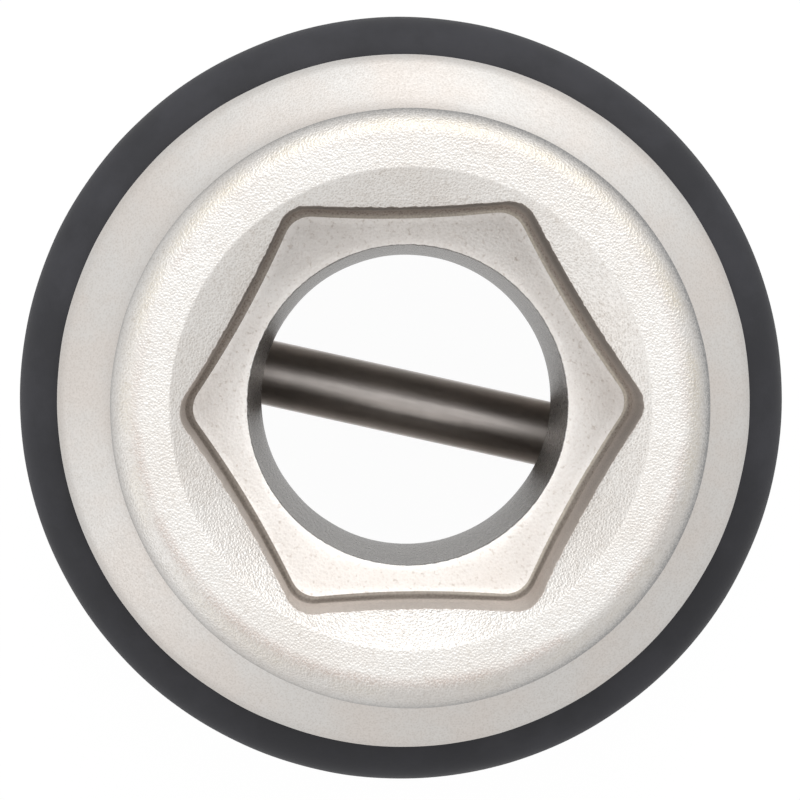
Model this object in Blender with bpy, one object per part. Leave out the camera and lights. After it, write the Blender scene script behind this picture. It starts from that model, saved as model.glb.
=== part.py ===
"""Impact socket: a forged body with a hexagon nose and a square drive, a loose cross pin and a rubber ring.

Metres, +Z up. The socket stands on its drive end with its axis on Z, the hexagon opens upwards, and X runs
along the cross pin, square to two flats of the drive.
"""

import math

import bmesh
import bpy
from mathutils import Matrix, Vector

# Turned outside of the body
SOCKET_LENGTH = 0.050
NOSE_WALL = 0.00385
RIM_ROUND = 0.0015
NECK_FILLET = 0.003
SHOULDER_ANGLE = 32.0
SHOULDER_ROUND = 0.0012
DRIVE_END_HEIGHT = 0.023
DRIVE_WALL = 0.0049
BASE_ROUND = 0.0012

# Hexagon recess in the nose, with relieved flats, and the lead-in cone around it
HEX_SIZE = 0.022
HEX_CLEARANCE = 0.000075
HEX_DEPTH = 0.012
HEX_FLAT_WIDTH = 0.0066
HEX_RELIEF_ANGLE = 3.5
HEX_CORNER_RADIUS = 0.0014
HEX_FLOOR_FILLET = 0.0004
HEX_TURN = 13.5
LEAD_IN_LAND = 0.00055
LEAD_IN_ANGLE = 30.0

# Tapered hole between the hexagon and the square
HOLE_FLOOR_DIAMETER = 0.0184
HOLE_INNER_DIAMETER = 0.0172

# Female square drive
SQUARE_SIZE = 0.01905
SQUARE_CLEARANCE = 0.000125
SQUARE_DEPTH = 0.023
SQUARE_CORNER_RADIUS = 0.001
SQUARE_MOUTH_CHAMFER = 0.0009

# Cross pin and the rubber ring over its ends
PIN_HEIGHT = 0.012
PIN_DIAMETER = 0.004
PIN_CLEARANCE = 0.00025
PIN_END_CLEARANCE = 0.0003
PIN_CHAMFER = 0.0004
RING_SECTION = 0.005
RING_CLEARANCE = 0.0003
RING_STANDS_PROUD = 0.00275

# How finely curves are stepped
ROUND_STEPS = 80
RING_SECTION_STEPS = 16
PIN_STEPS = 24
ARC_STEPS = 5
FLOOR_FILLET_STEPS = 3
SHARP_EDGE_ANGLE = 30.0

# How far cutters run past the faces they open, the distance at which points are one,
# and the share of an edge that the rounding at one of its ends may take
CUT_MARGIN = 0.002
WELD_DISTANCE = 1e-7
ROUNDING_SHARE = 0.45

# Sizes that follow from the driving ones
HEX_HALF = HEX_SIZE / 2 + HEX_CLEARANCE
SQUARE_HALF = SQUARE_SIZE / 2 + SQUARE_CLEARANCE
SQUARE_CORNER_REACH = (SQUARE_HALF - SQUARE_CORNER_RADIUS) * math.sqrt(2) + SQUARE_CORNER_RADIUS
HEX_FLOOR = SOCKET_LENGTH - HEX_DEPTH
GROOVE_FLOOR = SQUARE_CORNER_REACH + DRIVE_WALL
GROOVE_RADIUS = RING_SECTION / 2 + RING_CLEARANCE
RING_CENTRE = GROOVE_FLOOR + GROOVE_RADIUS
DRIVE_RADIUS = RING_CENTRE + RING_SECTION / 2 - RING_STANDS_PROUD
PIN_HALF_LENGTH = RING_CENTRE - RING_SECTION / 2 - PIN_END_CLEARANCE
PIN_BORE_RADIUS = PIN_DIAMETER / 2 + PIN_CLEARANCE


def clear_scene():
    """Remove every object that the scene holds."""
    for thing in list(bpy.data.objects):
        bpy.data.objects.remove(thing, do_unlink=True)


def arc(centre, radius, start, end, steps):
    """Points along an arc from start to end, both in degrees, ends included."""
    points = []
    for step in range(steps + 1):
        angle = math.radians(start + (end - start) * step / steps)
        points.append(centre + radius * Vector((math.cos(angle), math.sin(angle))))
    return points


def rounded(before, corner, after, radius):
    """Points that round a corner between its two neighbours, held to the room that they leave."""
    towards_before = (before - corner).normalized()
    towards_after = (after - corner).normalized()
    half_angle = towards_before.angle(towards_after) / 2
    room = ROUNDING_SHARE * min((before - corner).length, (after - corner).length)
    radius = min(radius, room * math.tan(half_angle))
    bisector = (towards_before + towards_after).normalized()
    centre = corner + bisector * (radius / math.sin(half_angle))
    reach = radius / math.tan(half_angle)
    first = (corner + towards_before * reach - centre).normalized()
    last = (corner + towards_after * reach - centre).normalized()
    return [centre + radius * first.slerp(last, step / ARC_STEPS) for step in range(ARC_STEPS + 1)]


def rounded_path(corners):
    """An outline through (point, rounding) corners, whose first and last points stay sharp."""
    points = [corners[0][0]]
    for index in range(1, len(corners) - 1):
        corner, rounding = corners[index]
        points += rounded(corners[index - 1][0], corner, corners[index + 1][0], rounding)
    points.append(corners[-1][0])
    return points


def hexagon_outline():
    """Outline of the hexagon: a straight middle on each flat, relieved ends and rounded corners."""
    relief = math.tan(math.radians(HEX_RELIEF_ANGLE))
    half_flat = HEX_FLAT_WIDTH / 2
    slope = math.tan(math.radians(30))
    corner_across = (HEX_HALF - half_flat * relief) * slope / (1 - relief * slope)
    corner_out = HEX_HALF + (corner_across - half_flat) * relief
    ends = (Vector((HEX_HALF, -half_flat)), Vector((HEX_HALF, half_flat)))
    corner = Vector((corner_out, corner_across))
    outline = []
    for side in range(6):
        turn = Matrix.Rotation(math.radians(HEX_TURN + 30 + 60 * side), 2)
        next_turn = Matrix.Rotation(math.radians(HEX_TURN + 90 + 60 * side), 2)
        outline += [turn @ end for end in ends]
        outline += rounded(turn @ ends[1], turn @ corner, next_turn @ ends[0], HEX_CORNER_RADIUS)
    return outline


HEX_CORNER_REACH = max(point.length for point in hexagon_outline())
LEAD_IN_RADIUS = HEX_CORNER_REACH + LEAD_IN_LAND
NOSE_RADIUS = HEX_CORNER_REACH + NOSE_WALL


def body_profile():
    """Turned outside of the body in the X-Z plane, from the top of the axis down to its bottom."""
    shoulder_rise = (DRIVE_RADIUS - NOSE_RADIUS) * math.tan(math.radians(SHOULDER_ANGLE))
    groove_centre = Vector((RING_CENTRE, PIN_HEIGHT))
    groove_angle = math.degrees(math.acos((DRIVE_RADIUS - RING_CENTRE) / GROOVE_RADIUS))
    groove = arc(groove_centre, GROOVE_RADIUS, groove_angle, 360 - groove_angle, 2 * ARC_STEPS)
    rim_room = (NOSE_RADIUS - LEAD_IN_RADIUS) / 2
    upper = [
        (Vector((0, SOCKET_LENGTH)), 0),
        (Vector((NOSE_RADIUS, SOCKET_LENGTH)), min(RIM_ROUND, rim_room)),
        (Vector((NOSE_RADIUS, DRIVE_END_HEIGHT + shoulder_rise)), NECK_FILLET),
        (Vector((DRIVE_RADIUS, DRIVE_END_HEIGHT)), SHOULDER_ROUND),
        (groove[0], 0),
    ]
    lower = [
        (groove[-1], 0),
        (Vector((DRIVE_RADIUS, 0)), BASE_ROUND),
        (Vector((0, 0)), 0),
    ]
    return rounded_path(upper) + groove[1:-1] + rounded_path(lower)


def mesh_object(name, shape):
    """Turn a bmesh into a named object in the scene."""
    bmesh.ops.recalc_face_normals(shape, faces=shape.faces)
    mesh = bpy.data.meshes.new(name)
    shape.to_mesh(mesh)
    shape.free()
    thing = bpy.data.objects.new(name, mesh)
    bpy.context.scene.collection.objects.link(thing)
    return thing


def turned(name, profile, closed, steps):
    """Spin an X-Z profile once round Z."""
    shape = bmesh.new()
    verts = [shape.verts.new((point.x, 0, point.y)) for point in profile]
    edges = [shape.edges.new(pair) for pair in zip(verts, verts[1:])]
    if closed:
        edges.append(shape.edges.new((verts[-1], verts[0])))
    bmesh.ops.spin(
        shape,
        geom=verts + edges,
        axis=(0, 0, 1),
        cent=(0, 0, 0),
        angle=2 * math.pi,
        steps=steps,
        use_merge=True,
    )
    bmesh.ops.remove_doubles(shape, verts=shape.verts, dist=WELD_DISTANCE)
    return mesh_object(name, shape)


def prism(name, outline, sections, floor_fillet=0):
    """Stack an X-Y outline at (height, scale) sections, from the top down, and cap both ends."""
    shape = bmesh.new()
    rings = []
    for height, scale in sections:
        rings.append([shape.verts.new((point.x * scale, point.y * scale, height)) for point in outline])
    count = len(outline)
    for upper, lower in zip(rings, rings[1:]):
        for here in range(count):
            following = (here + 1) % count
            shape.faces.new((upper[here], upper[following], lower[following], lower[here]))
    shape.faces.new(rings[0])
    floor = shape.faces.new(rings[-1])
    if floor_fillet:
        bmesh.ops.bevel(
            shape,
            geom=list(floor.edges),
            offset=floor_fillet,
            segments=FLOOR_FILLET_STEPS,
            profile=0.5,
            affect="EDGES",
        )
    return mesh_object(name, shape)


def subtract(body, cutters):
    """Cut each cutter out of the body with an exact Boolean, then remove the cutters."""
    for cutter in cutters:
        cutter.hide_render = True
        cutter.display_type = "WIRE"
        cut = body.modifiers.new(cutter.name, "BOOLEAN")
        cut.operation = "DIFFERENCE"
        cut.solver = "EXACT"
        cut.object = cutter
    bpy.context.view_layer.update()
    evaluated = body.evaluated_get(bpy.context.evaluated_depsgraph_get())
    solid = bpy.data.meshes.new_from_object(evaluated)
    body.modifiers.clear()
    body.data = solid
    for cutter in cutters:
        bpy.data.objects.remove(cutter, do_unlink=True)


def finish(thing, parent, colour, roughness, metallic):
    """Shade a round piece smooth between its edges, give it its own material and hang it on its parent."""
    thing.data.shade_smooth()
    thing.data.set_sharp_from_angle(angle=math.radians(SHARP_EDGE_ANGLE))
    material = bpy.data.materials.new(thing.name)
    material.use_nodes = True
    shader = material.node_tree.nodes["Principled BSDF"]
    shader.inputs["Base Color"].default_value = (*colour, 1)
    shader.inputs["Roughness"].default_value = roughness
    shader.inputs["Metallic"].default_value = metallic
    thing.data.materials.clear()
    thing.data.materials.append(material)
    thing.parent = parent


def lead_in_cutter():
    """Cone that opens the hexagon's mouth and ends inside the recess."""
    slope = math.tan(math.radians(LEAD_IN_ANGLE))
    inner = HOLE_FLOOR_DIAMETER / 2
    profile = [
        Vector((0, SOCKET_LENGTH + CUT_MARGIN)),
        Vector((LEAD_IN_RADIUS + CUT_MARGIN / slope, SOCKET_LENGTH + CUT_MARGIN)),
        Vector((inner, SOCKET_LENGTH - (LEAD_IN_RADIUS - inner) * slope)),
        Vector((0, SOCKET_LENGTH - (LEAD_IN_RADIUS - inner) * slope)),
    ]
    return turned("lead_in_cut", profile, False, ROUND_STEPS)


def hexagon_cutter():
    """Hexagon prism with a filleted floor."""
    sections = [(SOCKET_LENGTH + CUT_MARGIN, 1), (HEX_FLOOR, 1)]
    return prism("hexagon_cut", hexagon_outline(), sections, HEX_FLOOR_FILLET)


def hole_cutter():
    """Tapered hole that runs from the hexagon's floor into the square."""
    taper = (HOLE_FLOOR_DIAMETER - HOLE_INNER_DIAMETER) / 2 / (HEX_FLOOR - SQUARE_DEPTH)
    upper = HOLE_FLOOR_DIAMETER / 2 + CUT_MARGIN * taper
    lower = HOLE_INNER_DIAMETER / 2 - CUT_MARGIN * taper
    profile = [
        Vector((0, HEX_FLOOR + CUT_MARGIN)),
        Vector((upper, HEX_FLOOR + CUT_MARGIN)),
        Vector((lower, SQUARE_DEPTH - CUT_MARGIN)),
        Vector((0, SQUARE_DEPTH - CUT_MARGIN)),
    ]
    return turned("hole_cut", profile, False, ROUND_STEPS)


def square_cutter():
    """Square prism with rounded corners that widens at the mouth."""
    corners = [Vector((SQUARE_HALF * x, SQUARE_HALF * y)) for x, y in ((1, 1), (-1, 1), (-1, -1), (1, -1))]
    outline = []
    for index, corner in enumerate(corners):
        outline += rounded(corners[index - 1], corner, corners[(index + 1) % 4], SQUARE_CORNER_RADIUS)
    flare = 1 + (SQUARE_MOUTH_CHAMFER + CUT_MARGIN) / SQUARE_HALF
    sections = [(SQUARE_DEPTH, 1), (SQUARE_MOUTH_CHAMFER, 1), (-CUT_MARGIN, flare)]
    return prism("square_cut", outline, sections)


def bar_profile(radius, half_length, chamfer):
    """Half outline of a round bar along Z, from its top to its bottom, with chamfered ends."""
    upper = [(0, half_length), (radius - chamfer, half_length), (radius, half_length - chamfer)]
    lower = [(across, -along) for across, along in reversed(upper)]
    return [Vector(point) for point in upper + lower]


def lay_along_x(thing):
    """Lay a bar made along Z down along X, through the axis at the pin's height."""
    thing.data.transform(Matrix.Rotation(math.radians(90), 4, "Y"))
    thing.location = (0, 0, PIN_HEIGHT)


def pin_bore_cutter():
    """Round bar that drills the pin's bore right through the drive end."""
    profile = bar_profile(PIN_BORE_RADIUS, DRIVE_RADIUS + CUT_MARGIN, PIN_CHAMFER)
    bore = turned("pin_bore_cut", profile, False, PIN_STEPS)
    lay_along_x(bore)
    return bore


def socket_body(parent):
    """Forged body: turned outside, then the lead-in, hexagon, hole, square and pin bore cut out."""
    body = turned("socket_body", body_profile(), False, ROUND_STEPS)
    cutters = [lead_in_cutter(), hexagon_cutter(), hole_cutter(), square_cutter(), pin_bore_cutter()]
    subtract(body, cutters)
    finish(body, parent, (0.66, 0.63, 0.59), 0.45, 1.0)


def retaining_pin(parent):
    """Loose steel pin through the drive end, held endwise by the ring."""
    profile = bar_profile(PIN_DIAMETER / 2, PIN_HALF_LENGTH, PIN_CHAMFER)
    pin = turned("retaining_pin", profile, False, PIN_STEPS)
    lay_along_x(pin)
    finish(pin, parent, (0.57, 0.53, 0.50), 0.3, 1.0)


def retaining_ring(parent):
    """Rubber ring in the groove over the pin's ends, with its origin on the socket's axis."""
    section = arc(Vector((RING_CENTRE, 0)), RING_SECTION / 2, 0, 360, RING_SECTION_STEPS)[:-1]
    ring = turned("retaining_ring", section, True, ROUND_STEPS)
    ring.location = (0, 0, PIN_HEIGHT)
    finish(ring, parent, (0.045, 0.045, 0.05), 0.6, 0.0)


def main():
    """Build the socket's three pieces under one parent."""
    clear_scene()
    assembly = bpy.data.objects.new("impact_socket", None)
    bpy.context.scene.collection.objects.link(assembly)
    socket_body(assembly)
    retaining_pin(assembly)
    retaining_ring(assembly)


main()
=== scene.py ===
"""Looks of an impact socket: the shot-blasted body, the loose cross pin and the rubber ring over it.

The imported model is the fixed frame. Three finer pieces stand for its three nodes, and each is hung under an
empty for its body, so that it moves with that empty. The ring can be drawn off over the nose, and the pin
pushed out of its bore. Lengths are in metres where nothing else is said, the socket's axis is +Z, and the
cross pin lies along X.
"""

import logging
import math
from dataclasses import dataclass, replace
from enum import Enum
from typing import Any, Sequence

import bmesh
import bpy
import numpy as np
from bpy.types import Material, Mesh, Node, NodeSocket, Object, World
from mathutils import Matrix, Vector, noise


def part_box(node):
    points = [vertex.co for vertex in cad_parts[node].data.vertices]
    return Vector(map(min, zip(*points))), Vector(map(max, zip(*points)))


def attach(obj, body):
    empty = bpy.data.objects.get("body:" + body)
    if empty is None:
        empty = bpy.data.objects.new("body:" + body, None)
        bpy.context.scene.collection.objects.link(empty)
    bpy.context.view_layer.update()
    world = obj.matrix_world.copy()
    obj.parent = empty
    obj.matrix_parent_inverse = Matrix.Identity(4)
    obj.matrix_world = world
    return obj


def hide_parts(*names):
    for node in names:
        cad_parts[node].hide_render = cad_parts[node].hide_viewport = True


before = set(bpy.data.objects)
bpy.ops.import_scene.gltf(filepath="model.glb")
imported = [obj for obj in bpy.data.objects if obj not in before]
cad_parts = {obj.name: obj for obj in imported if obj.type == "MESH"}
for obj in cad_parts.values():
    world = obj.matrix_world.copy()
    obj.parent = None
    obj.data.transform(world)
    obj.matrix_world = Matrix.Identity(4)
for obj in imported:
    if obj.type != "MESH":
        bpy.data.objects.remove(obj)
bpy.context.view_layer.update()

LOG = logging.getLogger("impact_socket")

MM = 0.001

# Edges that bend by more than this many degrees are shaded sharp.
SHARP_ANGLE = 27.0

# Points on the axis that are closer than this are welded into one.
WELD_DISTANCE = 1e-9

# Spacing of a surface that needs no loops between its two corners.
UNDIVIDED = math.inf

# Play of the ring in its groove and of the pin in its bore, all round.
RING_PLAY = 0.3 * MM
PIN_PLAY = 0.25 * MM

# Share of the socket's length above which only the nose is left.
NOSE_SHARE = 0.6

# Places of the two colours and of the result on Blender's mix node.
MIX_FIRST = 6
MIX_SECOND = 7
MIX_RESULT = 2

# Outputs of the Light Path node for rays that show or mirror what they meet.
SEEN_RAYS = ("Is Camera Ray", "Is Glossy Ray")

# A span is a start and an end, a round is one value for all angles or one at each, a link joins two nodes.
Colour = tuple[float, float, float]
Span = tuple[float, float]
Round = float | np.ndarray
Link = NodeSocket

WHITE: Colour = (1.0, 1.0, 1.0)

# Levels of a noise between which its effect sets in. Most of a noise lies in the first span.
MOST: Span = (0.3, 0.7)
CLOUDS: Span = (0.35, 0.65)
BLOOM: Span = (0.35, 0.7)
DENTS: Span = (0.15, 0.60)
SPECKS: Span = (0.56, 0.80)
PORES: Span = (0.38, 0.62)

# Level from which a place is covered by a patch, at no cover and at full cover, and how a patch fades in
# around it.
PATCH_START: Span = (0.75, 0.25)
PATCH_FADE: Span = (-0.1, 0.12)


class Zone(Enum):
    """Surfaces that are finished differently; the value is the material's place on the piece."""

    SHOULDER = 0
    NOSE = 1
    WALL = 2
    FLOOR = 3
    BORE = 4


def rgba(colour: Colour | Link) -> Any:
    """Give a colour the fourth value that Blender asks for, and leave a link as it is."""
    return colour if isinstance(colour, Link) else (*colour, 1.0)


class Graph:
    """Node tree of a material or of the world, with short calls to add and join nodes."""

    def __init__(self, owner: Material | World) -> None:
        """Start with an empty tree.

        Args:
            owner: material or world that the tree belongs to.
        """
        owner.use_nodes = True
        self.owner = owner
        self.tree = owner.node_tree
        self.tree.nodes.clear()

    def add(self, kind: str, inputs: dict[str | int, Any] | None = None, **settings: Any) -> Node:
        """Add a node and set or join its inputs.

        Args:
            kind: Blender's name of the node type, without the leading ShaderNode.
            inputs: value or link for each input, by name or number.
            **settings: properties of the node itself.

        Returns:
            The new node.
        """
        node = self.tree.nodes.new("ShaderNode" + kind)
        for name, value in settings.items():
            setattr(node, name, value)
        for key, value in (inputs or {}).items():
            if isinstance(value, Link):
                self.tree.links.new(value, node.inputs[key])
            else:
                node.inputs[key].default_value = value
        return node

    def position(self) -> Link:
        """Return the place on the piece, in its own metres."""
        return self.add("TexCoord").outputs["Object"]

    def noise(self, where: Link, size: float, detail: float = 2.0, rough: float = 0.5) -> Link:
        """Return a cloudy noise around 0.5, with blotches of a size and weighted finer layers in them."""
        inputs = {"Vector": where, "Scale": 1.0 / size, "Detail": detail, "Roughness": rough}
        return self.add("TexNoise", inputs).outputs["Fac"]

    def cells(self, where: Link, size: float) -> Link:
        """Return the distance to the nearest of many scattered points, as a share of the given spacing."""
        return self.add("TexVoronoi", {"Vector": where, "Scale": 1.0 / size}).outputs["Distance"]

    def ramp(self, value: Link, span: Span, result: Span = (0.0, 1.0)) -> Link:
        """Return a value that is mapped smoothly from one span onto another and held at both ends."""
        inputs = dict(enumerate((value, *span, *result)))
        return self.add("MapRange", inputs, interpolation_type="SMOOTHSTEP").outputs["Result"]

    def near(self, value: Link, middle: float, half: float) -> Link:
        """Return 1 where a value is at the middle, fading to 0 at half a width from it."""
        off = self.math("ABSOLUTE", self.math("SUBTRACT", value, middle))
        return self.ramp(off, (0.0, half), (1.0, 0.0))

    def math(self, operation: str, *values: Link | float) -> Link:
        """Join values by one operation, such as MAXIMUM or MULTIPLY."""
        return self.add("Math", dict(enumerate(values)), operation=operation).outputs["Value"]

    def vector(self, operation: str, *values: Link | tuple[float, ...], result: str = "Vector") -> Link:
        """Join vectors by one operation, such as ADD or LENGTH."""
        return self.add("VectorMath", dict(enumerate(values)), operation=operation).outputs[result]

    def blend(self, share: Link, first: Colour | Link, second: Colour | Link) -> Link:
        """Return a mix of two colours, where the share is the weight of the second."""
        inputs = {"Factor": share, MIX_FIRST: rgba(first), MIX_SECOND: rgba(second)}
        return self.add("Mix", inputs, data_type="RGBA").outputs[MIX_RESULT]

    def bump(self, height: Link, depth: float, strength: float, **under: Link) -> Link:
        """Return a normal that is bent by a height of the given depth, on top of the one under it, if any."""
        inputs = {"Height": height, "Distance": depth, "Strength": strength, **under}
        return self.add("Bump", inputs).outputs["Normal"]

    def seen(self) -> Link:
        """Return 1 for rays that show or mirror what they meet, and 0 for those that only carry its light."""
        path = self.add("LightPath").outputs
        return self.math("MAXIMUM", *(path[ray] for ray in SEEN_RAYS))

    def principled(self, **inputs: Any) -> None:
        """Close the tree with a Principled shader, whose inputs are named with underscores for spaces."""
        shader = self.add("BsdfPrincipled", {key.replace("_", " "): value for key, value in inputs.items()})
        self.add("OutputMaterial", {"Surface": shader.outputs["BSDF"]})


@dataclass(frozen=True)
class StainOrPaintedLight:
    """Broken patches of colour on one ring round the axis, each a real stain or painted light and shade.

    Attributes:
        colour: colour of the stain.
        radius, half_width: distance of the ring from the axis, and how far from it the stain fades out.
        height, half_height: height of the ring, and how far above and below it the stain fades out.
        share: weight of the stain where it is strongest.
        seed: place in the noise, which tells two patches apart.
        grainy: how much the grain breaks it up, from 0 to 1.
        side: bearing at which the stain is strongest, in degrees.
        lean: how much weaker it is on the far side; from 1 it is gone there, and at 2 from halfway on.
        cover: share of the ring that is stained, from 0 to 1.
        patch: size of the patches.
    """

    colour: Colour
    radius: float
    half_width: float
    height: float
    half_height: float
    share: float
    seed: float
    grainy: float
    side: float = 0.0
    lean: float = 0.0
    cover: float = 1.0
    patch: float = 20.0 * MM

    def over(self, graph: Graph, place: Link, pores: Link, colour: Link) -> Link:
        """Lay the stain over a colour.

        Args:
            graph: tree that is built.
            place: place on the piece.
            pores: how readily the surface takes a stain, from 0 to 1.
            colour: colour under the stain.

        Returns:
            The stained colour.
        """
        flat = graph.vector("MULTIPLY", place, (1.0, 1.0, 0.0))
        radius = graph.vector("LENGTH", flat, result="Value")
        height = graph.add("SeparateXYZ", {0: place}).outputs["Z"]
        moved = graph.vector("ADD", place, (self.seed, self.seed, 0.0))
        start = PATCH_START[0] + self.cover * (PATCH_START[1] - PATCH_START[0])
        patch_span = (start + PATCH_FADE[0], start + PATCH_FADE[1])
        side = math.radians(self.side)
        out = graph.vector("NORMALIZE", flat)
        facing = graph.vector("DOT_PRODUCT", out, (math.cos(side), math.sin(side), 0.0), result="Value")
        share = graph.near(radius, self.radius, self.half_width)
        for factor in (
            graph.near(height, self.height, self.half_height),
            graph.ramp(graph.noise(moved, self.patch, detail=3.0), patch_span),
            graph.math("MULTIPLY_ADD", pores, self.grainy, 1.0 - self.grainy),
            graph.ramp(facing, (-1.0, 1.0), (1.0 - self.lean, 1.0)),
        ):
            share = graph.math("MULTIPLY", share, factor)
        return graph.blend(graph.math("MULTIPLY", share, self.share), colour, self.colour)


@dataclass(frozen=True)
class BlastedSteel:
    """Shot-blasted, nickel-plated steel: a dense grain of small dents, faint clouds, specks and patches.

    The middles of the dents carry painted shade; each patch is a real stain or painted light and shade.

    Attributes:
        name: name of the material.
        bright, dull, speck_and_dent_shade: colour of clean metal, of the clouds, and of the specks in the
            grain
        and of the painted shade in the dents.
        grain, dent, relief: distance between the dents, their depth, and share of their slope that shows.
        roughness: least and most roughness.
        grazing: colour when it is looked at along the surface.
        metal: share of bare metal, where a film of oxide covers the rest.
        shade: painted shade in the dents, how much darker their middles are, from 0 to 1.
        specks, speck_size: weight and size of the specks.
        stains_and_painted_light: patches on the surface, each a real stain or painted light and shade,
        the lowest first.
        sand_share, sand_relief: size and relief of the sand over the dents, as shares of grain and relief.
        cloud_size: size of the clouds.
    """

    name: str
    bright: Colour
    dull: Colour
    speck_and_dent_shade: Colour
    grain: float
    dent: float
    relief: float
    roughness: Span
    grazing: Colour = WHITE
    metal: float = 1.0
    shade: float = 0.25
    specks: float = 0.3
    speck_size: float = 0.35 * MM
    stains_and_painted_light: tuple[StainOrPaintedLight, ...] = ()
    sand_share: float = 0.8
    sand_relief: float = 0.5
    cloud_size: float = 6.0 * MM

    def material(self) -> Material:
        """Build the material.

        Returns:
            The node material.
        """
        graph = Graph(bpy.data.materials.new(self.name))
        place = graph.position()
        dents = graph.cells(place, self.grain)
        sand = graph.noise(place, self.sand_share * self.grain, rough=0.6)
        clouds = graph.noise(place, self.cloud_size, detail=4.0, rough=0.6)
        flecks = graph.noise(place, self.speck_size)
        colour = graph.blend(graph.ramp(clouds, CLOUDS), self.dull, self.bright)
        # Painted shade: the middles of the dents are darkened toward the dark speck colour.
        colour = graph.blend(graph.ramp(dents, DENTS, (self.shade, 0.0)), colour, self.speck_and_dent_shade)
        colour = graph.blend(graph.ramp(flecks, SPECKS, (0.0, self.specks)), colour, self.speck_and_dent_shade)
        pores = graph.ramp(sand, PORES, (1.0, 0.0))
        for stain in self.stains_and_painted_light:
            colour = stain.over(graph, place, pores, colour)
        rough = graph.ramp(sand, MOST, self.roughness)
        normal = graph.bump(sand, self.dent, self.sand_relief * self.relief)
        normal = graph.bump(dents, self.dent, self.relief, Normal=normal)
        graph.principled(Base_Color=colour, Metallic=self.metal, Roughness=rough, Normal=normal,
                         Specular_Tint=rgba(self.grazing))
        return graph.owner


@dataclass(frozen=True)
class DrawnSteel:
    """Drawn bar with fine lines along X, as the cross pin is made of.

    Attributes:
        name: name of the material.
        bright, dark: colour of clean metal and of the clouds.
        roughness: least and most roughness.
        line_size, line_squeeze: width of the lines, and width as a share of their length.
        line_depth: depth of the lines.
        line_relief: share of their slope that shows.
        cloud_size: size of the clouds.
    """

    name: str
    bright: Colour
    dark: Colour
    roughness: Span
    line_size: float = 0.12 * MM
    line_squeeze: float = 0.06
    line_depth: float = 0.002 * MM
    line_relief: float = 0.25
    cloud_size: float = 2.5 * MM

    def material(self) -> Material:
        """Build the material.

        Returns:
            The node material.
        """
        graph = Graph(bpy.data.materials.new(self.name))
        place = graph.position()
        drawn = graph.vector("MULTIPLY", place, (self.line_squeeze, 1.0, 1.0))
        lines = graph.noise(drawn, self.line_size, detail=3.0, rough=0.6)
        clouds = graph.noise(place, self.cloud_size, detail=3.0)
        colour = graph.blend(graph.ramp(clouds, MOST), self.dark, self.bright)
        rough = graph.ramp(lines, MOST, self.roughness)
        normal = graph.bump(lines, self.line_depth, self.line_relief)
        graph.principled(Base_Color=colour, Metallic=1.0, Roughness=rough, Normal=normal)
        return graph.owner


@dataclass(frozen=True)
class MouldedRubber:
    """Matt black rubber with a fine moulded skin and a trace of bloom.

    Attributes:
        name: name of the material.
        black, bloom: colour of clean rubber and of the bloom.
        roughness: least and most roughness.
        gloss: strength of its reflections, where 0.5 is that of common plastic.
        skin_size, skin_depth, skin_relief: size and depth of the skin's grain, and share of its slope shown.
        cloud_size: size of the patches of bloom.
    """

    name: str
    black: Colour
    bloom: Colour
    roughness: Span
    gloss: float = 0.18
    skin_size: float = 0.16 * MM
    skin_depth: float = 0.012 * MM
    skin_relief: float = 0.5
    cloud_size: float = 5.0 * MM

    def material(self) -> Material:
        """Build the material.

        Returns:
            The node material.
        """
        graph = Graph(bpy.data.materials.new(self.name))
        place = graph.position()
        skin = graph.noise(place, self.skin_size)
        clouds = graph.noise(place, self.cloud_size, detail=4.0, rough=0.6)
        colour = graph.blend(graph.ramp(clouds, BLOOM), self.black, self.bloom)
        rough = graph.ramp(clouds, MOST, self.roughness)
        normal = graph.bump(skin, self.skin_depth, self.skin_relief)
        graph.principled(Base_Color=colour, Roughness=rough, Normal=normal, Specular_IOR_Level=self.gloss)
        return graph.owner


@dataclass(frozen=True)
class Corner:
    """One corner of a turned section, all the way round the axis.

    Attributes:
        radius: distance from the axis.
        height: height along the axis.
        rounding: radius that the corner is rounded with.
        zone: surface that starts at this corner; a piece of one finish has only the first.
        spacing: largest distance between two loops of that surface.
        steps: number of steps round the corner.
        round_zone: surface of the rounding itself, where it isn't the one that starts here.
    """

    radius: Round
    height: Round
    rounding: Round = 0.0
    zone: Zone = Zone.SHOULDER
    spacing: float = 1.0 * MM
    steps: int = 4
    round_zone: Zone | None = None


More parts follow.
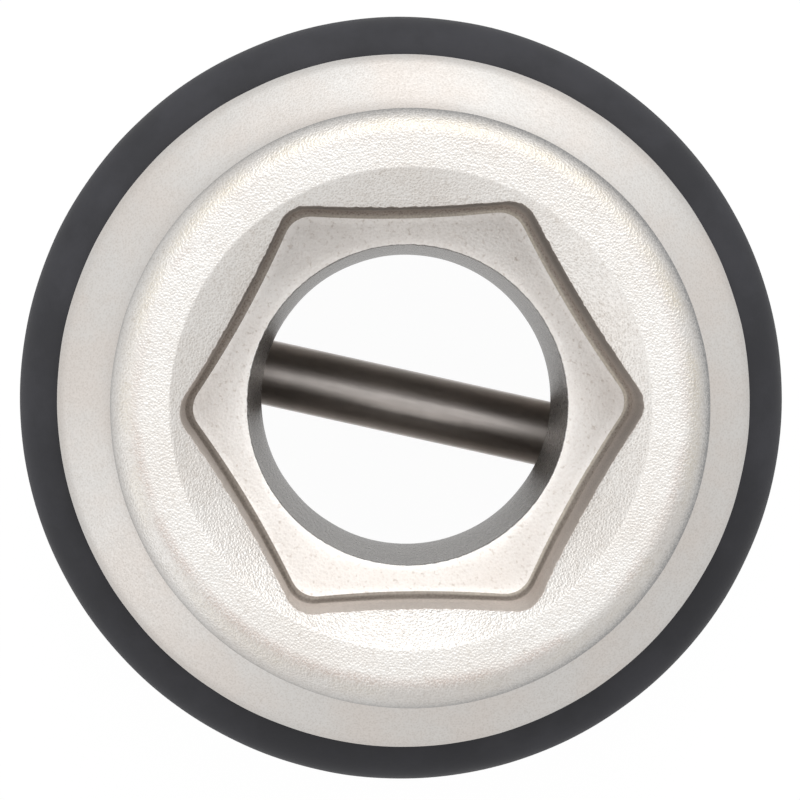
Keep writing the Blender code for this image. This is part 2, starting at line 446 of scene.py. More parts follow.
@dataclass
class TurnedSkin:
    """Closed skin of quads through the corners of a section that may change round the axis.

    Attributes:
        corners: corners of the section in order, up the outside and down the inside.
        angles: angles round the axis that the skin has points at.
        solid: whether the section runs from the axis back to the axis, as in a bar, instead of round a ring.
        reach_share: most that a rounding may use of the surface beside it.
    """

    corners: Sequence[Corner]
    angles: np.ndarray
    solid: bool = False
    reach_share: float = 0.45

    def loops(self) -> tuple[np.ndarray, list[Zone]]:
        """Round the corners and divide the surfaces between them.

        Returns:
            Radius and height at each loop and angle, and the zone that starts at each loop.
        """
        level = np.zeros(len(self.angles))
        points = [np.stack([corner.radius + level, corner.height + level], 1) for corner in self.corners]
        rounds = [self._rounded(points, place) for place in range(len(points))]
        loops: list[np.ndarray] = []
        zones: list[Zone] = []
        for place, corner in enumerate(self.corners):
            loops.extend(rounds[place])
            zones.extend([corner.round_zone or corner.zone] * (len(rounds[place]) - 1))
            if self.solid and place == len(points) - 1:
                break
            start, end = rounds[place][-1], rounds[(place + 1) % len(points)][0]
            longest = np.linalg.norm(end - start, axis=1).max()
            parts = max(1, math.ceil(longest / corner.spacing))
            loops.extend(start + (end - start) * (part / parts) for part in range(1, parts))
            zones.extend([corner.zone] * (len(loops) - len(zones)))
        return np.stack(loops), zones

    def _rounded(self, points: list[np.ndarray], place: int) -> list[np.ndarray]:
        """Replace one corner by an arc.

        Args:
            points: the sharp corners, each at every angle.
            place: number of the corner.

        Returns:
            The loops round the corner, in order.
        """
        corner = self.corners[place]
        middle = points[place]
        if np.max(corner.rounding) <= 0.0:
            return [middle]
        before = points[place - 1] - middle
        after = points[(place + 1) % len(points)] - middle
        before_length = np.linalg.norm(before, axis=1, keepdims=True)
        after_length = np.linalg.norm(after, axis=1, keepdims=True)
        before, after = before / before_length, after / after_length
        half = 0.5 * np.arccos(np.clip((before * after).sum(1, keepdims=True), -1.0, 1.0))
        wanted = np.broadcast_to(corner.rounding, len(middle))[:, None] / np.tan(half)
        reach = np.minimum(wanted, self.reach_share * np.minimum(before_length, after_length))
        first, last = middle + before * reach, middle + after * reach
        weight = np.sin(half)
        arcs = []
        for share in np.linspace(0.0, 1.0, corner.steps + 1):
            ends = (1.0 - share) ** 2 * first + share ** 2 * last
            pull = 2.0 * weight * share * (1.0 - share)
            arcs.append((ends + pull * middle) / ((1.0 - share) ** 2 + share ** 2 + pull))
        return arcs

    def mesh(self, name: str) -> Mesh:
        """Skin the loops with quads that face outwards.

        Args:
            name: name of the mesh.

        Returns:
            The mesh, with the zones as its faces' material numbers.
        """
        loops, zones = self.loops()
        rows, columns = loops.shape[:2]
        radius, height = loops[..., 0], loops[..., 1]
        around = np.stack([radius * np.cos(self.angles), radius * np.sin(self.angles), height], 2)
        here = np.arange(rows * columns).reshape(rows, columns)
        ahead = np.roll(here, -1, 1)
        quads = np.stack([here, ahead, np.roll(ahead, -1, 0), np.roll(here, -1, 0)], 2)
        quads = quads[:-1] if self.solid else quads
        mesh = bpy.data.meshes.new(name)
        mesh.from_pydata(around.reshape(-1, 3).tolist(), [], quads.reshape(-1, 4).tolist())
        slots = np.repeat([zone.value for zone in zones[:len(quads)]], columns).astype(np.int32)
        mesh.polygons.foreach_set("material_index", slots)
        if self.solid:
            self._close_poles(mesh)
        mesh.update()
        return mesh

    @staticmethod
    def _close_poles(mesh: Mesh) -> None:
        """Weld the points that lie on the axis, so that the ends are fans of triangles.

        Args:
            mesh: mesh to change.
        """
        joined = bmesh.new()
        joined.from_mesh(mesh)
        bmesh.ops.remove_doubles(joined, verts=joined.verts, dist=WELD_DISTANCE)
        joined.to_mesh(mesh)
        joined.free()


@dataclass(frozen=True)
class Unevenness:
    """Low bumps all over a piece, as a forged or moulded surface is never quite true.

    Attributes:
        height: most that a point moves.
        size: size of the bumps.
        fade: height above the floor over which the bumps set in, so that what stands on it stays flat.
    """

    height: float
    size: float
    fade: float = 1.0 * MM

    def apply(self, mesh: Mesh) -> None:
        """Move the points of a mesh along their normals by a cloudy noise.

        Args:
            mesh: mesh to change.
        """
        normals = [vertex.normal.copy() for vertex in mesh.vertices]
        for vertex, normal in zip(mesh.vertices, normals):
            share = min(1.0, max(0.0, vertex.co.z / self.fade))
            vertex.co += normal * (share * self.height * noise.noise(vertex.co / self.size))
        mesh.update()


@dataclass(frozen=True)
class Ripple:
    """Noise along a circle, the same on each run.

    Attributes:
        share: weight of the noise.
        size: size of its waves.
        seed: height in the noise, which tells two ripples apart.
    """

    share: float
    size: float
    seed: float

    def along(self, angles: np.ndarray, radius: float) -> np.ndarray:
        """Return the noise round a circle, from about -1 to 1 at each angle, times the weight."""
        points = np.stack([np.cos(angles), np.sin(angles)], 1) * (radius / self.size)
        return self.share * np.array([noise.noise((*point, self.seed)) for point in points])


@dataclass(frozen=True)
class Polygon:
    """Outline of a regular polygon with rounded corners and bowed sides.

    Attributes:
        sides: number of sides.
        half: distance from the middle to the middle of a side.
        corner: radius of the corners.
        bow: how far a side bends away from the middle on its way to the corner.
        turn: angle of the first side's middle, in degrees.
    """

    sides: int
    half: float
    corner: float
    bow: float = 0.0
    turn: float = 0.0

    def radius(self, angles: np.ndarray) -> np.ndarray:
        """Measure from the middle to the outline.

        Args:
            angles: angles at which the outline is read.

        Returns:
            The distances.
        """
        pitch = math.pi / self.sides
        off = np.abs((angles - math.radians(self.turn) + pitch) % (2.0 * pitch) - pitch)
        tip = self.half + self.bow
        reach = tip * math.tan(pitch)
        curve = self.bow / reach ** 2
        slope = np.cos(off) ** 2 - 4.0 * self.half * curve * np.sin(off) ** 2
        side = 2.0 * self.half / (np.cos(off) + np.sqrt(np.maximum(slope, 0.0)))
        opening = math.pi / 2.0 - pitch - math.atan(2.0 * self.bow / reach)
        centre = tip / math.cos(pitch) - self.corner / math.sin(opening)
        past = pitch - off
        root = self.corner ** 2 - (centre * np.sin(past)) ** 2
        round_end = centre * np.cos(past) + np.sqrt(np.maximum(root, 0.0))
        touch = math.atan2(self.corner * math.cos(opening), centre + self.corner * math.sin(opening))
        return np.where(past < touch, np.minimum(side, round_end), side)


def full_turn(steps: int) -> np.ndarray:
    """Return a number of even angles all the way round."""
    return np.linspace(0.0, 2.0 * math.pi, steps, endpoint=False)


def lay_along_x(mesh: Mesh, across: float, height: float) -> None:
    """Lay a mesh that was turned about Z along X, at a height and off to one side."""
    mesh.transform(Matrix.Translation((0.0, across, height)) @ Matrix.Rotation(math.pi / 2, 4, "Y"))


def shade(mesh: Mesh) -> None:
    """Shade a mesh smooth, apart from its sharp edges."""
    mesh.shade_smooth()
    mesh.set_sharp_from_angle(angle=math.radians(SHARP_ANGLE))


def piece_from(mesh: Mesh, materials: Sequence[Material]) -> Object:
    """Put a mesh into the scene, under its own name.

    Args:
        mesh: mesh in the frame's own coordinates.
        materials: materials in the order of their numbers.

    Returns:
        The new object.
    """
    piece = bpy.data.objects.new(mesh.name, mesh)
    bpy.context.scene.collection.objects.link(piece)
    for material in materials:
        mesh.materials.append(material)
    return piece


def settle(piece: Object, body: str, node: str) -> None:
    """Let a piece stand for a node of the frame and ride on its body.

    Args:
        piece: finished piece.
        body: body that it moves with.
        node: node that it stands for.
    """
    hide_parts(node)
    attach(piece, body)
    LOG.info("%s stands for %s and rides on %s, %d faces", piece.name, node, body, len(piece.data.polygons))


@dataclass
class SocketBody:
    """The forged socket: hexagon recess in the nose, through hole, female square, ring groove and pin bore.

    Attributes:
        length, drive_radius, nose_radius: length, and radius of the drive end and of the nose.
        ring_centre: radius of the ring's middle line, where the groove's arc has its centre.
        groove_radius, groove_height: radius of that arc, and its height, which is the pin bore's too.
        bore_radius: radius of the pin bore.
        base_round, lip_round, shoulder_round, rim_round: roundings of the outer edges, from the base up.
        drive_end_height, shoulder_angle: height at which the shoulder starts, and its slope in degrees.
        neck_fillet: fillet from the shoulder to the nose.
        lead_in_radius, lead_in_angle: radius of the lead-in cone at the rim, and its slope in degrees.
        lead_in_round: rounding of the cone's edge.
        hexagon, hexagon_depth: outline of the recess, and its depth below the rim.
        hexagon_drift, hexagon_drift_bearing: how far it lies off the axis, and its bearing in degrees.
        edge_round, round_ripple: rounding of the hexagon's edge, and its change along the edge.
        edge_wear, edge_ripples: depth of the wear on that edge and on the hole's, and its course.
        floor_fillet: fillet at the foot of the hexagon's wall.
        hole_front_radius, hole_back_radius: radius of the through hole at the floor and at the square.
        hole_drift, hole_drift_bearing: how far its back end lies off the axis, and that end's bearing.
        hole_edge_round, hole_ripple: rounding of its front edge, and course of the wear there.
        chip_depth: how far that wear reaches into the hole.
        square, square_depth: outline of the female square, and its depth.
        step_round: rounding of the step from the hole to the square.
        mouth_chamfer, mouth_round: chamfer at the square's mouth, and rounding of its edges.
        bore_overcut: how far the pin bore's cutter stands out of the body.
        bore_steps, angle_steps, groove_steps: steps round the bore, round the axis and along the groove.
        outside_spacing: largest distance between two loops on the drive end.
        wall_ring: radius at which the wall's painted light and shade are strongest, and how far they reach.
        forging: unevenness of the forged surface.
    """

    length: float
    drive_radius: float
    nose_radius: float
    ring_centre: float
    groove_radius: float
    groove_height: float
    bore_radius: float
    base_round: float = 1.2 * MM
    lip_round: float = 0.25 * MM
    drive_end_height: float = 23.0 * MM
    shoulder_round: float = 1.2 * MM
    shoulder_angle: float = 32.0
    neck_fillet: float = 3.0 * MM
    rim_round: float = 1.5 * MM
    lead_in_radius: float = 13.28 * MM
    lead_in_angle: float = 30.0
    lead_in_round: float = 0.25 * MM
    hexagon: Polygon = Polygon(6, half=11.075 * MM, corner=1.6 * MM, bow=0.26 * MM, turn=43.5)
    hexagon_depth: float = 12.0 * MM
    hexagon_drift: float = 0.06 * MM
    hexagon_drift_bearing: float = 25.0
    edge_round: float = 0.07 * MM
    edge_wear: float = 0.05 * MM
    edge_ripples: tuple[Ripple, ...] = (Ripple(0.9, 0.14 * MM, 1.0), Ripple(0.7, 0.4 * MM, 2.0))
    round_ripple: Ripple = Ripple(0.5, 0.6 * MM, 3.0)
    floor_fillet: float = 0.45 * MM
    hole_front_radius: float = 9.12 * MM
    hole_back_radius: float = 8.6 * MM
    hole_drift: float = 0.16 * MM
    hole_drift_bearing: float = 55.0
    hole_edge_round: float = 0.06 * MM
    hole_ripple: Ripple = Ripple(0.6, 0.3 * MM, 4.0)
    chip_depth: float = 0.3 * MM
    square: Polygon = Polygon(4, half=9.65 * MM, corner=1.0 * MM)
    square_depth: float = 23.0 * MM
    step_round: float = 0.2 * MM
    mouth_chamfer: float = 0.9 * MM
    mouth_round: float = 0.12 * MM
    bore_overcut: float = 2.0 * MM
    bore_steps: int = 64
    angle_steps: int = 660
    groove_steps: int = 12
    outside_spacing: float = 1.3 * MM
    wall_ring: tuple[float, float] = (11.6 * MM, 5.0 * MM)
    forging: Unevenness = Unevenness(0.02 * MM, 2.4 * MM)

    @property
    def angles(self) -> np.ndarray:
        """Return the angles round the axis that the skin has points at."""
        return full_turn(self.angle_steps)

    def build(self) -> None:
        """Build the body, cut the pin bore and dress it."""
        section = self._outer_corners() + self._nose_corners() + self._drive_corners()
        mesh = TurnedSkin(section, self.angles).mesh("impact_socket_body")
        self.forging.apply(mesh)
        piece = piece_from(mesh, self._finishes())
        self._bored(piece)
        shade(piece.data)
        settle(piece, "socket", "socket_body")

    def _finishes(self) -> list[Material]:
        """Mix the finishes of the body.

        Returns:
            The materials in the order of the zones.
        """
        satin = (0.85, 0.85, 0.85)
        finishes = {
            Zone.SHOULDER: BlastedSteel(
                "blasted_shoulder", bright=(0.612, 0.595, 0.575), dull=(0.612, 0.575, 0.543),
                speck_and_dent_shade=(0.40, 0.36, 0.32), grain=0.14 * MM, dent=0.012 * MM, relief=0.5,
                roughness=(0.50, 0.62), grazing=satin, specks=0.15),
            Zone.NOSE: BlastedSteel(
                "blasted_nose", bright=(0.70, 0.68, 0.656), dull=(0.67, 0.641, 0.61),
                speck_and_dent_shade=(0.36, 0.31, 0.26), grain=0.13 * MM, dent=0.028 * MM, relief=1.0,
                roughness=(0.46, 0.60), grazing=satin, stains_and_painted_light=self._nose_stains_and_shade()),
            Zone.WALL: BlastedSteel(
                "broached_wall", bright=(0.70, 0.63, 0.58), dull=(0.62, 0.55, 0.50),
                speck_and_dent_shade=(0.14, 0.11, 0.09), grain=0.15 * MM, dent=0.03 * MM, relief=0.8,
                roughness=(0.50, 0.62), grazing=(0.55, 0.50, 0.46), metal=0.35, shade=0.45, specks=0.6,
                speck_size=0.2 * MM, stains_and_painted_light=self._wall_painted_light()),
            # Painted light: the floor's colours are lifted well above the nose's, for light that the floor of
            # the recess doesn't get.
            Zone.FLOOR: BlastedSteel(
                "blasted_floor_painted_light", bright=(0.95, 0.922, 0.893), dull=(0.92, 0.883, 0.847),
                speck_and_dent_shade=(0.55, 0.48, 0.42), grain=0.17 * MM, dent=0.010 * MM, relief=0.5,
                roughness=(0.44, 0.56), shade=0.10, specks=0.55, speck_size=0.24 * MM),
            # Partly a smoother turned finish and partly painted shade: its colours and grazing colour are
            # held dark for the shade in the hole, which its reflections of the white floor don't show.
            Zone.BORE: BlastedSteel(
                "turned_bore", bright=(0.44, 0.43, 0.42), dull=(0.40, 0.39, 0.38),
                speck_and_dent_shade=(0.22, 0.20, 0.19), grain=0.30 * MM, dent=0.01 * MM, relief=0.06,
                roughness=(0.26, 0.29), grazing=(0.505, 0.49, 0.475), metal=0.6, specks=0.1),
        }
        return [finishes[zone].material() for zone in Zone]

    def _nose_stains_and_shade(self) -> tuple[StainOrPaintedLight, ...]:
        """Choose the nose's patches: a dull neck, rust and tarnish on the rim, painted shade on its rounding.

        Returns:
            The patches, the lowest first.
        """
        rim = self.length
        neck = StainOrPaintedLight((0.615, 0.585, 0.56), self.nose_radius, 2.0 * MM, self.drive_end_height, 21.0 * MM,
                     share=0.95, seed=2.1, grainy=0.0)
        rust = StainOrPaintedLight((0.42, 0.31, 0.26), 15.15 * MM, 0.55 * MM, rim, 2.0 * MM, share=0.5, seed=0.0,
                     grainy=0.8, side=270.0, lean=0.8, cover=0.7, patch=3.5 * MM)
        tarnish = StainOrPaintedLight((0.62, 0.53, 0.36), 15.7 * MM, 0.7 * MM, rim, 2.0 * MM, share=0.45, seed=0.3,
                        grainy=0.8, side=75.0, lean=0.6, cover=0.6, patch=3.5 * MM)
        # Painted shade: a grey band on the rounding, strongest on the side turned away from the key lamp.
        painted_rim_shade = StainOrPaintedLight((0.36, 0.34, 0.325), 15.6 * MM, 0.9 * MM, rim, 3.0 * MM, share=0.4, seed=0.9,
                      grainy=0.3, side=315.0, lean=0.8)
        # Painted shade: a dark band low on the rounding and high on the side, strongest where the rounding
        # faces away from the lamps.
        painted_edge_shade = StainOrPaintedLight((0.20, 0.205, 0.21), self.nose_radius, 1.0 * MM, rim - 1.2 * MM, 1.6 * MM, share=1.0,
                     seed=0.6, grainy=0.55, side=25.0, lean=0.75)
        # Painted shade: a thin dark line all round, where the rounding turns down into the side and is seen
        # edge-on.
        line = StainOrPaintedLight((0.17, 0.165, 0.16), self.nose_radius, 0.3 * MM, rim - 1.5 * MM, 0.8 * MM, share=0.65,
                     seed=0.8, grainy=0.3)
        return neck, rust, tarnish, painted_rim_shade, painted_edge_shade, line

    def _wall_painted_light(self) -> tuple[StainOrPaintedLight, ...]:
        """Choose the painted light and shade of the hexagon's wall, on its face and at its foot.

        Returns:
            The patches, the lowest first.
        """
        rim, floor = self.length, self.length - self.hexagon_depth
        # Painted shade: the wall is darkened on the side where it faces away from the key lamp.
        painted_wall_shade = StainOrPaintedLight((0.10, 0.085, 0.07), *self.wall_ring, rim - 5.0 * MM, 14.0 * MM, share=0.95, seed=1.2,
                     grainy=0.2, side=93.0, lean=1.0)
        # Painted light: the wall is lightened on the opposite side, where it faces the key lamp.
        clean = StainOrPaintedLight((0.95, 0.87, 0.80), *self.wall_ring, rim - 3.0 * MM, 12.0 * MM, share=0.9, seed=2.3,
                      grainy=0.2, side=260.0, lean=2.0)
        # Painted light: a mid tone at the wall's foot on one side lifts the painted shade there, where the
        # fillet catches light.
        bare = StainOrPaintedLight((0.50, 0.46, 0.40), *self.wall_ring, floor, 0.35 * self.floor_fillet, share=0.7,
                     seed=1.3, grainy=0.2, side=25.0, lean=0.8)
        # Painted shadow in the crease at the wall's foot, on the lit side.
        painted_foot_shadow = StainOrPaintedLight((0.13, 0.11, 0.09), *self.wall_ring, floor + 0.1 * MM, self.floor_fillet, share=0.9,
                     seed=1.5, grainy=0.1, side=262.0, lean=1.0)
        # Painted light: a pale olive band at the very foot on one side, where the fillet catches light.
        foot = StainOrPaintedLight((0.80, 0.74, 0.65), *self.wall_ring, floor, 0.15 * self.floor_fillet, share=0.8,
                     seed=1.7, grainy=0.2, side=25.0, lean=0.85)
        return painted_wall_shade, clean, bare, painted_foot_shadow, foot

    def _outer_corners(self) -> list[Corner]:
        """Lay out the outside from the base to the neck.

        Returns:
            The corners in order.
        """
        corners = [Corner(self.drive_radius, 0.0, self.base_round, steps=6, spacing=self.outside_spacing)]
        lip = math.acos((self.ring_centre - self.drive_radius) / self.groove_radius)
        for place, turn in enumerate(np.linspace(-lip, lip, self.groove_steps + 1)):
            radius = self.ring_centre - self.groove_radius * math.cos(turn)
            height = self.groove_height + self.groove_radius * math.sin(turn)
            rounding = self.lip_round if place in (0, self.groove_steps) else 0.0
            spacing = self.outside_spacing if place == self.groove_steps else UNDIVIDED
            corners.append(Corner(radius, height, rounding, spacing=spacing))
        rise = (self.drive_radius - self.nose_radius) * math.tan(math.radians(self.shoulder_angle))
        neck = self.drive_end_height + rise
        return corners + [
            Corner(self.drive_radius, self.drive_end_height, self.shoulder_round, steps=5),
            Corner(self.nose_radius, neck, self.neck_fillet, Zone.NOSE, steps=6, spacing=1.4 * MM,
                   round_zone=Zone.SHOULDER),
        ]

    def _nose_corners(self) -> list[Corner]:
        """Lay out the rim, the lead-in cone and the hexagon recess down to the front of the hole.

        Returns:
            The corners in order.
        """
        drift = self.hexagon_drift * np.cos(self.angles - math.radians(self.hexagon_drift_bearing))
        outline = self.hexagon.radius(self.angles) + drift
        wear = sum(ripple.along(self.angles, self.hexagon.half) for ripple in self.edge_ripples)
        edge = outline + self.edge_wear * wear
        drop = (self.lead_in_radius - edge) * math.tan(math.radians(self.lead_in_angle))
        floor = self.length - self.hexagon_depth
        soft = self.edge_round * (1.0 + self.round_ripple.along(self.angles, self.hexagon.half))
        chips = self.edge_wear * self.hole_ripple.along(self.angles, self.hole_front_radius)
        return [
            Corner(self.nose_radius, self.length, self.rim_round, Zone.NOSE, steps=8, spacing=0.6 * MM),
            Corner(self.lead_in_radius, self.length, self.lead_in_round, Zone.NOSE, steps=3,
                   spacing=0.7 * MM),
            Corner(edge, self.length - drop, soft, Zone.WALL, steps=3, spacing=2.0 * MM),
            Corner(outline, floor, self.floor_fillet, Zone.FLOOR, steps=5, spacing=0.8 * MM,
                   round_zone=Zone.WALL),
            Corner(self.hole_front_radius + chips, floor, self.hole_edge_round, Zone.BORE),
            Corner(self.hole_front_radius, floor - self.chip_depth, zone=Zone.BORE, spacing=3.0 * MM),
        ]

    def _drive_corners(self) -> list[Corner]:
        """Lay out the hole's back end, the female square and its mouth.

        Returns:
            The corners in order.
        """
        drift = self.hole_drift * np.cos(self.angles - math.radians(self.hole_drift_bearing))
        square = self.square.radius(self.angles)
        mouth = replace(self.square, half=self.square.half + self.mouth_chamfer).radius(self.angles)
        return [
            Corner(self.hole_back_radius + drift, self.square_depth, self.step_round, Zone.BORE,
                   spacing=1.5 * MM),
            Corner(square, self.square_depth, self.step_round, spacing=3.0 * MM),
            Corner(square, self.mouth_chamfer, self.mouth_round, steps=2),
            Corner(mouth, 0.0, self.mouth_round, steps=2, spacing=3.0 * MM),
        ]

    def _bored(self, piece: Object) -> None:
        """Cut the cross bore for the pin through both walls of the square.

        Args:
            piece: body to cut.
        """
        reach = self.drive_radius + self.bore_overcut
        outline = ((0.0, -reach), (self.bore_radius, -reach), (self.bore_radius, reach), (0.0, reach))
        corners = [Corner(*point, spacing=UNDIVIDED) for point in outline]
        mesh = TurnedSkin(corners, full_turn(self.bore_steps), solid=True).mesh("pin_bore")
        lay_along_x(mesh, 0.0, self.groove_height)
        cutter = piece_from(mesh, list(piece.data.materials))
        cut = piece.modifiers.new("pin_bore", "BOOLEAN")
        cut.operation = "DIFFERENCE"
        cut.solver = "EXACT"
        cut.object = cutter
        depsgraph = bpy.context.evaluated_depsgraph_get()
        whole = piece.data
        piece.data = bpy.data.meshes.new_from_object(piece.evaluated_get(depsgraph))
        piece.data.name = piece.name
        piece.modifiers.clear()
        bpy.data.objects.remove(cutter)
        for used in (mesh, whole):
            bpy.data.meshes.remove(used)


@dataclass
class RetainingPin:
    """The loose cross pin that locks the socket on the anvil.

    Attributes:
        half_length, radius, height: half the pin's length, its radius, and the height of its axis.
        end_round: rounding of its ends.
        lie: how far the loose pin lies off the middle of its bore, across it.
        angle_steps: number of points round the pin.
        finish: what it is made of.
    """

    half_length: float
    radius: float
    height: float
    end_round: float = 0.45 * MM
    lie: float = -0.23 * MM
    angle_steps: int = 96
    finish: DrawnSteel = DrawnSteel("pin_steel", bright=(0.55, 0.505, 0.478), dark=(0.47, 0.435, 0.41),
                                    roughness=(0.29, 0.37))

    def build(self) -> None:
        """Build the pin and dress it."""
        corners = [
            Corner(0.0, -self.half_length, spacing=0.4 * MM),
            Corner(self.radius, -self.half_length, self.end_round, steps=6),
            Corner(self.radius, self.half_length, self.end_round, steps=6, spacing=0.4 * MM),
            Corner(0.0, self.half_length),
        ]
        mesh = TurnedSkin(corners, full_turn(self.angle_steps), solid=True).mesh("impact_socket_pin")
        lay_along_x(mesh, self.lie, self.height)
        piece = piece_from(mesh, [self.finish.material()])
        shade(mesh)
        settle(piece, "pin", "retaining_pin")


@dataclass
class RetainingRing:
    """The rubber ring in the groove, which covers the pin's ends.

    Attributes:
        centre, height: radius and height of the ring's middle line.
        section: radius of its round section.
        seam_height: height of the moulding seam round its widest line.
        seam_width: distance from that line at which the seam has fallen to about a third.
        angle_steps, section_steps: number of points round the axis and round the section.
        skin: unevenness of the moulded skin.
        finish: what it is made of.
    """

    centre: float
    section: float
    height: float
    seam_height: float = 0.05 * MM
    seam_width: float = 0.12 * MM
    angle_steps: int = 300
    section_steps: int = 48
    skin: Unevenness = Unevenness(0.02 * MM, 4.0 * MM)
    finish: MouldedRubber = MouldedRubber("ring_black", black=(0.036, 0.036, 0.040),
                                          bloom=(0.050, 0.050, 0.056), roughness=(0.62, 0.75))

    def build(self) -> None:
        """Build the ring with its moulding seam and dress it."""
        corners = []
        for turn in np.linspace(-math.pi, math.pi, self.section_steps, endpoint=False):
            seam = self.seam_height * math.exp(-((self.section * math.sin(turn)) / self.seam_width) ** 2)
            reach = self.section - self.seam_height + (seam if math.cos(turn) > 0.0 else 0.0)
            radius = self.centre + reach * math.cos(turn)
            corners.append(Corner(radius, self.height + reach * math.sin(turn), spacing=UNDIVIDED))
        mesh = TurnedSkin(corners, full_turn(self.angle_steps)).mesh("impact_socket_ring")
        self.skin.apply(mesh)
        piece = piece_from(mesh, [self.finish.material()])
        shade(mesh)
        settle(piece, "ring", "retaining_ring")


@dataclass(frozen=True)
class Lamp:
    """One large soft lamp that shines at the socket.

    Attributes:
        name: name of the lamp.
        bearing, elevation: angle from the image's right-hand side and above the floor, in degrees.
        size: width and height of its face.
        power: power in watts.
        colour: colour of its light.
        distance: distance from the socket.
    """

    name: str
    bearing: float
    elevation: float
    size: tuple[float, float]
    power: float
    colour: Colour = WHITE
    distance: float = 1.0


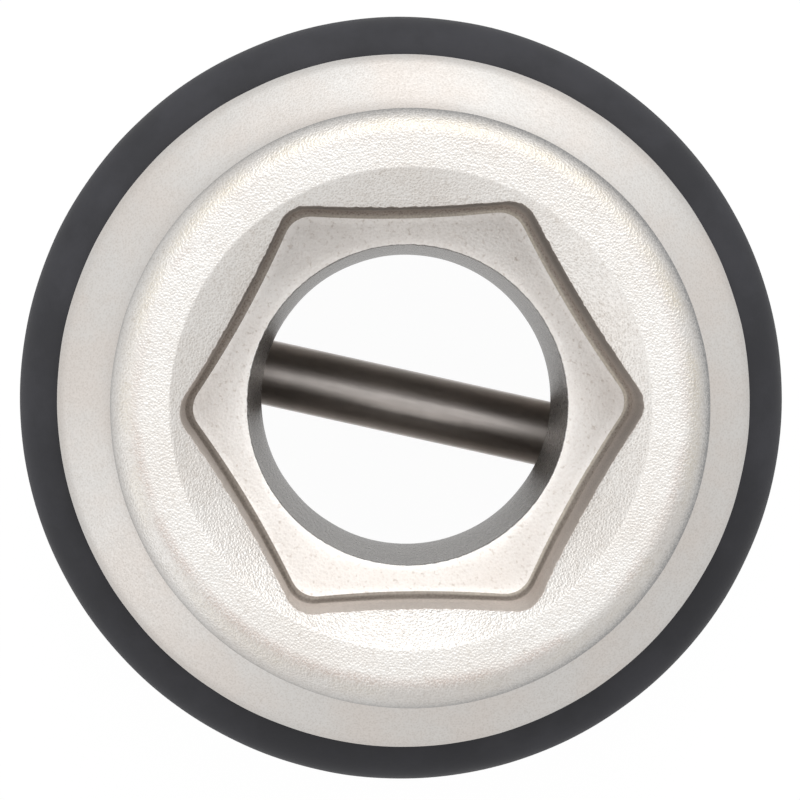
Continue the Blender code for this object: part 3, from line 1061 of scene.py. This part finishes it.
@dataclass
class Studio:
    """Pale floor, soft lamps and the camera that looks down on the nose.

    Attributes:
        turn: angle of the image's right-hand side from +X, in degrees.
        aim_height, camera_rise: height of the plane that is aimed at, and of the camera above it.
        camera_off: how far the camera stands off the axis, right and up in the image.
        aim_off: how far the middle of the image lies off the axis on that plane, right and up.
        lens: focal length in millimetres, for Blender's own sensor.
        world_level: brightness of the surroundings as a light.
        floor_size, floor_drop: width of the floor, and how far below the socket it lies, off its plane.
        floor_glow: light that it gives off where it is seen or mirrored.
        floor_white: its colour there, which keeps a trace of the shadow.
        floor_grey: its colour as it lights the socket.
        lamps: the lamps.
    """

    turn: float = 12.5
    aim_height: float = 48.5 * MM
    camera_rise: float = 320.0 * MM
    camera_off: tuple[float, float] = (-5.0 * MM, 5.5 * MM)
    aim_off: tuple[float, float] = (-0.58 * MM, 0.46 * MM)
    lens: float = 260.9
    world_level: float = 0.655
    floor_size: float = 6.0
    floor_drop: float = 0.02 * MM
    floor_glow: float = 0.97
    floor_white: Colour = (0.04, 0.04, 0.04)
    floor_grey: Colour = (0.78, 0.78, 0.78)
    lamps: tuple[Lamp, ...] = (
        Lamp("lamp_key", bearing=88.0, elevation=60.0, size=(0.62, 0.5), power=2.9,
             colour=(0.96, 0.985, 1.0)),
        Lamp("lamp_front", bearing=78.0, elevation=35.0, size=(0.75, 0.5), power=2.4),
        Lamp("lamp_fill", bearing=210.0, elevation=33.0, size=(0.6, 0.55), power=1.5),
    )

    def build(self) -> None:
        """Build the floor, the surroundings, the lamps and the camera."""
        self._floor()
        self._world()
        for lamp in self.lamps:
            self._lamp(lamp)
        self._camera()
        bpy.context.scene.view_settings.view_transform = "Standard"

    def _place(self, right: float, up: float, height: float) -> Vector:
        """Return the place that lies right of the axis and up in the image, at a height."""
        return Matrix.Rotation(math.radians(self.turn), 3, "Z") @ Vector((right, up, height))

    def _floor(self) -> None:
        """Lay a pale floor that reads white and keeps the socket's shadow."""
        half, low = self.floor_size / 2.0, -self.floor_drop
        corners = [(-half, -half, low), (half, -half, low), (half, half, low), (-half, half, low)]
        mesh = bpy.data.meshes.new("floor")
        mesh.from_pydata(corners, [], [(0, 1, 2, 3)])
        graph = Graph(bpy.data.materials.new("pale_floor"))
        lit = graph.add("BsdfDiffuse", {"Color": rgba(self.floor_white)})
        glow = graph.add("Emission", {"Color": rgba(WHITE), "Strength": self.floor_glow})
        white = graph.add("AddShader", {0: lit.outputs[0], 1: glow.outputs[0]})
        plain = graph.add("BsdfDiffuse", {"Color": rgba(self.floor_grey)})
        mix = graph.add("MixShader", {0: graph.seen(), 1: plain.outputs[0], 2: white.outputs[0]})
        graph.add("OutputMaterial", {"Surface": mix.outputs[0]})
        piece_from(mesh, [graph.owner])

    def _world(self) -> None:
        """Light the scene evenly from all round, with a white backdrop to look at and to be mirrored."""
        graph = Graph(bpy.data.worlds.new("studio"))
        bpy.context.scene.world = graph.owner
        light = graph.add("Background", {"Color": rgba(WHITE), "Strength": self.world_level})
        backdrop = graph.add("Background", {"Color": rgba(WHITE)})
        mix = graph.add("MixShader", {0: graph.seen(), 1: light.outputs[0], 2: backdrop.outputs[0]})
        graph.add("OutputWorld", {"Surface": mix.outputs[0]})

    def _lamp(self, lamp: Lamp) -> None:
        """Hang one soft lamp.

        Args:
            lamp: what the lamp is.
        """
        bearing, elevation = math.radians(lamp.bearing), math.radians(lamp.elevation)
        away = lamp.distance * math.cos(elevation)
        rise = lamp.distance * math.sin(elevation)
        middle = self._place(0.0, 0.0, self.aim_height)
        place = self._place(away * math.cos(bearing), away * math.sin(bearing), self.aim_height + rise)
        light = bpy.data.lights.new(lamp.name, "AREA")
        light.shape = "RECTANGLE"
        light.size, light.size_y = lamp.size
        light.energy = lamp.power
        light.color = lamp.colour
        hung = bpy.data.objects.new(lamp.name, light)
        bpy.context.scene.collection.objects.link(hung)
        hung.location = place
        hung.rotation_euler = (middle - place).to_track_quat("-Z", "Y").to_euler()
        hung.visible_camera = False

    def _camera(self) -> None:
        """Set up the camera over the nose."""
        aim = self._place(*self.aim_off, self.aim_height)
        place = self._place(*self.camera_off, self.aim_height + self.camera_rise)
        back = (place - aim).normalized()
        side = self._place(0.0, 1.0, 0.0).cross(back).normalized()
        over = back.cross(side)
        data = bpy.data.cameras.new("camera")
        data.lens = self.lens
        camera = bpy.data.objects.new("camera", data)
        bpy.context.scene.collection.objects.link(camera)
        camera.matrix_world = Matrix.Translation(place) @ Matrix((side, over, back)).transposed().to_4x4()
        bpy.context.scene.camera = camera


def widest(node: str, low: float) -> float:
    """Return how far a CAD node reaches from the axis above a height."""
    points = (vertex.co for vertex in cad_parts[node].data.vertices)
    return max(math.hypot(point.x, point.y) for point in points if point.z > low)


def main() -> None:
    """Build the pieces in order."""
    logging.basicConfig(level=logging.INFO, format="%(name)s: %(message)s")
    _, body_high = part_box("socket_body")
    ring_low, ring_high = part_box("retaining_ring")
    pin_low, pin_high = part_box("retaining_pin")
    section = 0.5 * (ring_high.z - ring_low.z)
    height = 0.5 * (ring_high.z + ring_low.z)
    centre = ring_high.x - section
    pin_radius = 0.5 * (pin_high.z - pin_low.z)
    SocketBody(
        length=body_high.z, drive_radius=body_high.x,
        nose_radius=widest("socket_body", NOSE_SHARE * body_high.z),
        ring_centre=centre, groove_radius=section + RING_PLAY, groove_height=height,
        bore_radius=pin_radius + PIN_PLAY,
    ).build()
    RetainingPin(half_length=pin_high.x, radius=pin_radius, height=0.5 * (pin_high.z + pin_low.z)).build()
    RetainingRing(centre=centre, section=section, height=height).build()
    Studio().build()


if __name__ == "__main__":
    main()
